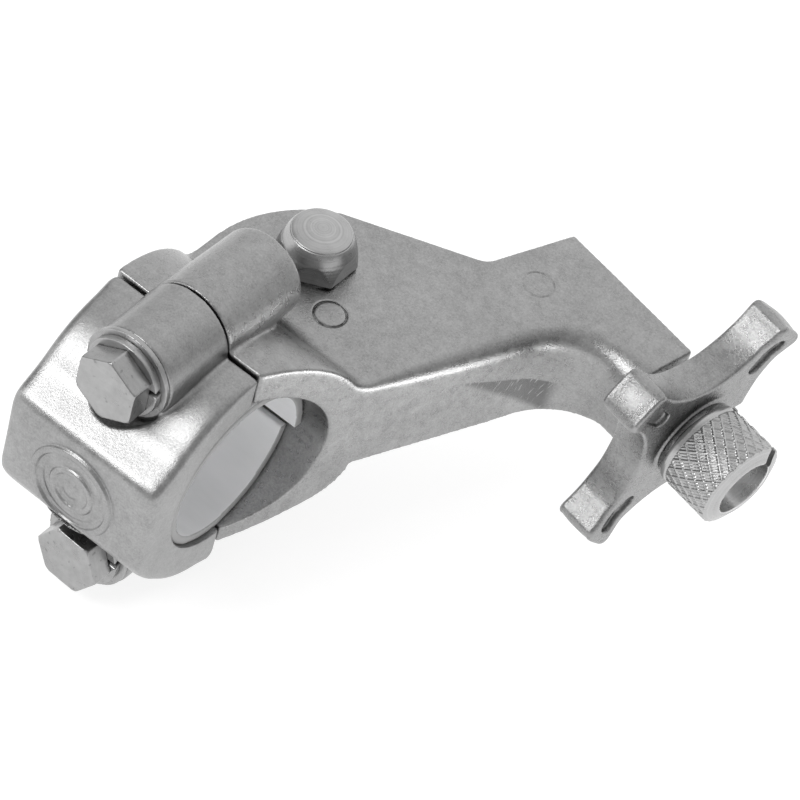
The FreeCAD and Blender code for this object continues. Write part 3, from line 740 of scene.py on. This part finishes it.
sleeve = rounded_copy("bar_sleeve", "sleeve_shell", SLEEVE, voxel=0.20, rounds=6)
thin_out(sleeve, 50_000)
finish_piece(sleeve, "bar_sleeve", "sleeve")

to_object = adjuster_frame()
wheel = rounded_copy("thumb_wheel", "wheel_casting", CAST_WHEEL, voxel=0.14, rounds=8,
                     to_local=to_object.inverted())
shape_wheel(wheel)
roughen(wheel, size=3.0, height=0.05, seed=3)
thin_out(wheel, 120_000)
wheel.matrix_world = to_object
finish_piece(wheel, "thumb_wheel", "wheel")

barrel = make_barrel(TURNED, to_object)
finish_piece(barrel, "adjuster_barrel", "barrel")

for node, voxel in (("upper_clamp_bolt", 0.12), ("lower_clamp_bolt", 0.12),
                    ("upper_flat_washer", 0.10), ("lower_flat_washer", 0.10),
                    ("upper_lock_washer", 0.10), ("lower_lock_washer", 0.10),
                    ("pivot_nut", 0.12)):
    piece = rounded_copy(node, node + "_worn", ZINC, voxel, rounds=3)
    thin_out(piece, 30_000)
    finish_piece(piece, node, "perch")

pivot = rounded_copy("pivot_bolt", "pivot_bolt_turned", PIVOT, voxel=0.10, rounds=2)
DOME_START = (13.6, 14.0)
soften(pivot, smoothstep(*DOME_START, vertices(pivot.data)[:, 2] / MM), rounds=30)
thin_out(pivot, 90_000)
finish_piece(pivot, "pivot_bolt", "perch")

ring = rounded_copy("pivot_nut_ring", "pivot_nut_ring_moulded", NUT_NYLON, voxel=0.10, rounds=3)
finish_piece(ring, "pivot_nut_ring", "perch")


# ---------------------------------------------------------------- floor and light
FLOOR_REACH = 6.0
FLOOR_GAP = 0.0005
FLOOR_GREY = 0.4
FLOOR_GLOW = 0.78


def add_floor():
    """A plain pale floor under the object's lowest point."""
    mesh = bpy.data.meshes.new("floor")
    level = cad_box[0][2] - FLOOR_GAP
    corners = [(across * FLOOR_REACH, forward * FLOOR_REACH, level)
               for across, forward in ((-1, -1), (1, -1), (1, 1), (-1, 1))]
    mesh.from_pydata(corners, [], [(0, 1, 2, 3)])
    material = bpy.data.materials.new("floor_pale")
    material.use_nodes = True
    surface = material.node_tree.nodes["Principled BSDF"].inputs
    surface["Base Color"].default_value = grey(FLOOR_GREY)
    surface["Roughness"].default_value = 0.9
    surface["Emission Color"].default_value = (1, 1, 1, 1)
    surface["Emission Strength"].default_value = FLOOR_GLOW
    floor = add_object("floor", mesh, material)


def add_light(name, direction, distance, size, radiance, target=(0.015, 0.01, 0), only=()):
    """An evenly bright rectangle, seen from the target in a direction, for all pieces or a few."""
    data = bpy.data.lights.new(name, "AREA")
    data.shape = "RECTANGLE"
    data.size, data.size_y = size
    data.energy = radiance * math.pi * size[0] * size[1]
    lamp = bpy.data.objects.new(name, data)
    towards = Vector(direction).normalized()
    lamp.location = Vector(target) + towards * distance
    lamp.rotation_euler = towards.to_track_quat("Z", "Y").to_euler()
    lamp.visible_camera = False
    scene.collection.objects.link(lamp)
    if only:
        lit = bpy.data.collections.new(name + "_lit")
        for piece in only:
            lit.objects.link(piece)
        lamp.light_linking.receiver_collection = lit
        lamp.light_linking.blocker_collection = lit


def light_world():
    """A studio, bright behind the object and mid-grey elsewhere, with a dark flag and a card."""
    world = bpy.data.worlds.new("studio")
    scene.world = world
    world.use_nodes = True
    tree = world.node_tree
    background = tree.nodes["Background"]
    background.inputs["Color"].default_value = (1, 1, 1, 1)
    place = tree.nodes.new("ShaderNodeTexCoord").outputs["Generated"]

    def lobe(direction, low, high, base, peak):
        """A brightness that goes from base to peak towards a direction."""
        dot = tree.nodes.new("ShaderNodeVectorMath")
        dot.operation = "DOT_PRODUCT"
        tree.links.new(place, dot.inputs[0])
        dot.inputs[1].default_value = Vector(direction).normalized()
        spread = tree.nodes.new("ShaderNodeMapRange")
        spread.interpolation_type = "SMOOTHSTEP"
        tree.links.new(dot.outputs["Value"], spread.inputs["Value"])
        for key, value in zip(RANGE_SOCKETS, (low, high, base, peak)):
            spread.inputs[key].default_value = value
        return spread.outputs["Result"]

    def join(operation, first, second):
        made = tree.nodes.new("ShaderNodeMath")
        made.operation = operation
        tree.links.new(first, made.inputs[0])
        tree.links.new(second, made.inputs[1])
        return made.outputs[0]

    back = lobe((-0.22, 0.75, 0.62), 0.25, 0.95, 0.50, 1.06)
    flag = lobe((-0.88, 0.0, 0.45), 0.86, 0.97, 1.0, 0.55)
    left = lobe((-0.85, -0.5, 0.15), 0.93, 0.98, 0.0, 1.0)
    total = join("ADD", join("MULTIPLY", back, flag), left)
    tree.links.new(total, background.inputs["Strength"])


scene.view_settings.view_transform = "Standard"
add_floor()
light_world()
add_light("left_softbox", direction=(-0.38, -0.61, 0.695), distance=0.60,
          size=(0.26, 0.28), radiance=6.0)
add_light("low_card", direction=(0, 0, -1), distance=0.0238,
          size=(0.11, 0.10), radiance=5.0, target=(0.135, 0.050, 0), only=[perch])
